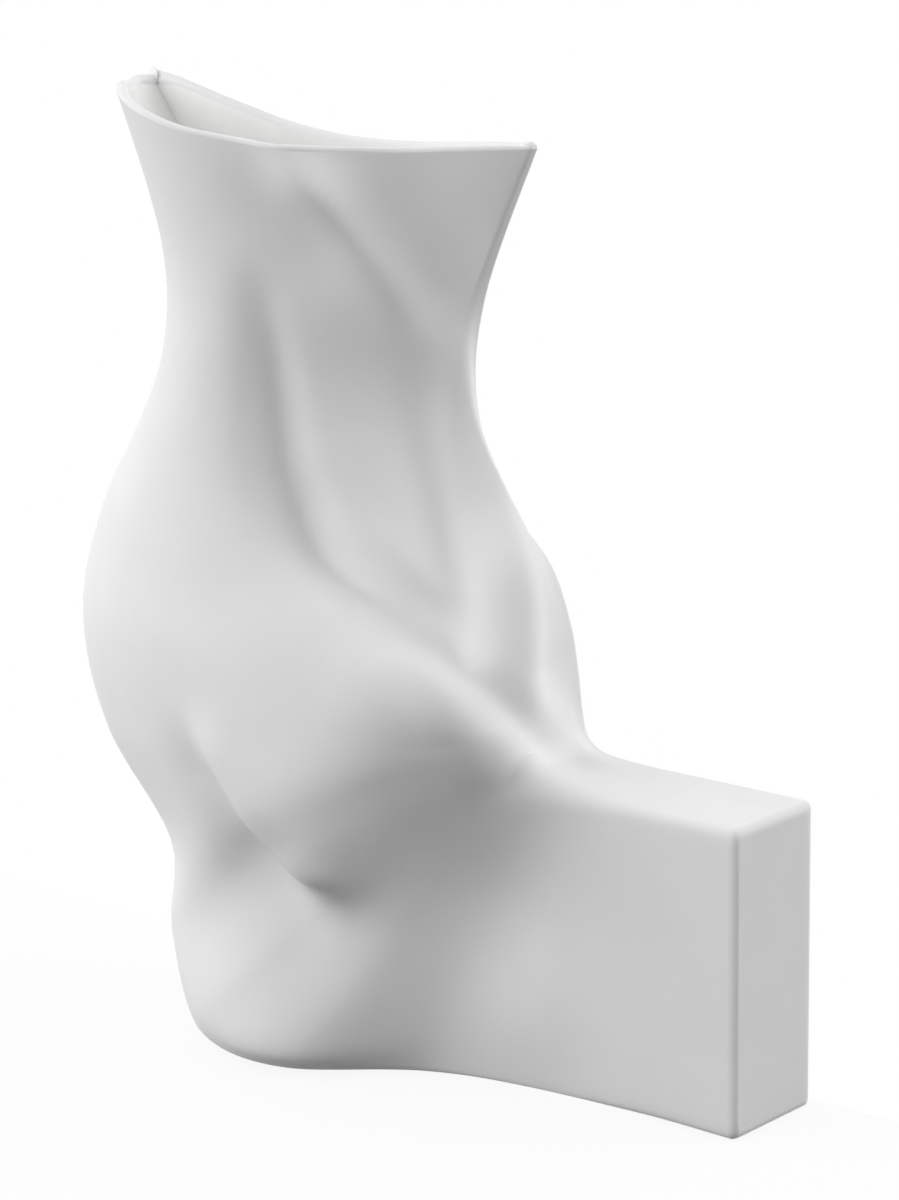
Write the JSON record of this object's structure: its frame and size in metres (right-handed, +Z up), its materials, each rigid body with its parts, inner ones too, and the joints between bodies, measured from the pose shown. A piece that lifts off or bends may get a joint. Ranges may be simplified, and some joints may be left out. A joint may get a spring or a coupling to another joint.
{
  "type": "hanging wall vase",
  "caption": "White porcelain wall vase with a flat back, folded belly, flared mouth and rectangular block foot, lifting off a steel hook bracket with screws and plugs.",
  "frame": {"origin": "on the wall surface, at the middle of the bracket's back face, midway between its two screws", "axes": "+Z up, -Y out of the wall into the room, +X towards the block foot"},
  "size_m": [0.228, 0.1159, 0.247],
  "materials": {
    "bisque_porcelain": "matte white bisque outside, clear glaze inside",
    "zinc_plated_steel": "satin zinc plate",
    "clear_silicone": "satin translucent",
    "grey_nylon": "matte moulded"
  },
  "bodies": {
    "bracket": {"wall_bracket": "zinc_plated_steel", "hook_sleeve": "clear_silicone", "bracket_screw_top": "zinc_plated_steel", "bracket_screw_bottom": "zinc_plated_steel", "wall_plug_top": "grey_nylon", "wall_plug_bottom": "grey_nylon"},
    "vase": {"vase_body": "bisque_porcelain", "wall_bumper_left": "clear_silicone", "wall_bumper_right": "clear_silicone"}
  },
  "joints": [
    {"name": "lift_off", "type": "slide", "parent": "bracket", "child": "vase", "axis": [0, 0, 1], "range_m": [0, 0.011]}
  ]
}
